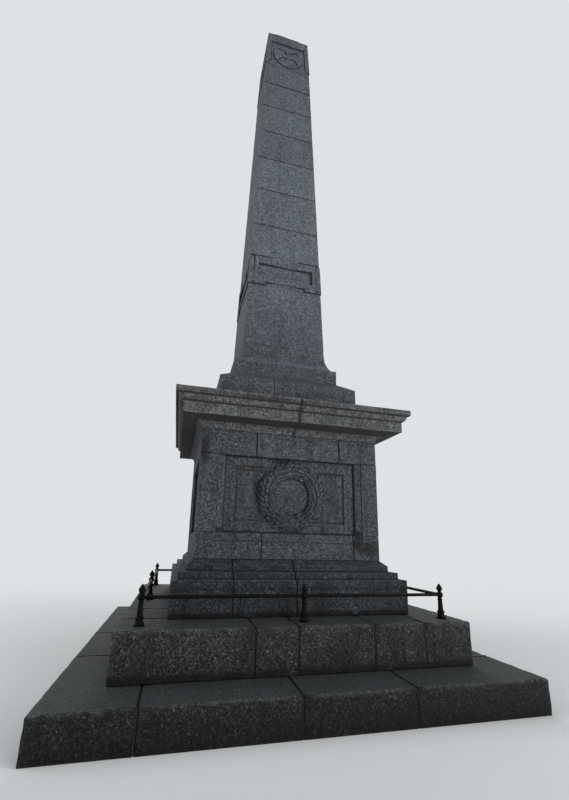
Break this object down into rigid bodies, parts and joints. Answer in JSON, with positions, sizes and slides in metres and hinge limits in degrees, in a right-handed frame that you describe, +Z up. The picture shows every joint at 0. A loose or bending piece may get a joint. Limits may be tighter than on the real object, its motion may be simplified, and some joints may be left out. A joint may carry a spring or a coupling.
{
  "type": "memorial obelisk",
  "caption": "Square granite memorial obelisk on a moulded pedestal with a carved wreath, standing on two steps with a low cast-iron railing.",
  "frame": {"origin": "on the ground under the middle of the bottom step", "axes": "+Z up the shaft, -Y towards the front with the wreath, +X to the right of someone facing the front"},
  "size_m": [4.57, 4.57, 11.467],
  "materials": {
    "step_granite": "rough",
    "pedestal_granite": "fine-axed",
    "shaft_granite": "fine-axed",
    "hearting": "rough",
    "cast_iron": "painted black"
  },
  "bodies": {
    "root": {"steps_core": "hearting", "bottom_step_front": "step_granite", "bottom_step_right": "step_granite", "bottom_step_back": "step_granite", "bottom_step_left": "step_granite", "second_step_front": "step_granite", "second_step_right": "step_granite", "second_step_back": "step_granite", "second_step_left": "step_granite", "railing_corner_posts": "cast_iron", "railing_middle_posts": "cast_iron", "railing_rails": "cast_iron", "base_course_front": "pedestal_granite", "base_course_right": "pedestal_granite", "base_course_back": "pedestal_granite", "base_course_left": "pedestal_granite", "pedestal_core": "hearting", "die_base_course": "pedestal_granite", "pier_front_left": "pedestal_granite", "pier_front_right": "pedestal_granite", "pier_back_right": "pedestal_granite", "pier_back_left": "pedestal_granite", "die_panel_front": "pedestal_granite", "die_panel_right": "pedestal_granite", "die_panel_back": "pedestal_granite", "die_panel_left": "pedestal_granite", "frieze_course": "pedestal_granite", "cornice_front_left": "pedestal_granite", "cornice_front_right": "pedestal_granite", "cornice_back_right": "pedestal_granite", "cornice_back_left": "pedestal_granite", "blocking_left": "pedestal_granite", "blocking_right": "pedestal_granite", "shaft_foot": "shaft_granite", "shaft_lower": "shaft_granite", "shaft_band": "shaft_granite", "shaft_course_1": "shaft_granite", "shaft_course_2": "shaft_granite", "shaft_course_3": "shaft_granite", "shaft_course_4": "shaft_granite", "shaft_course_5": "shaft_granite", "shaft_course_6": "shaft_granite", "shaft_head": "shaft_granite", "cap_stone": "shaft_granite"}
  },
  "joints": []
}
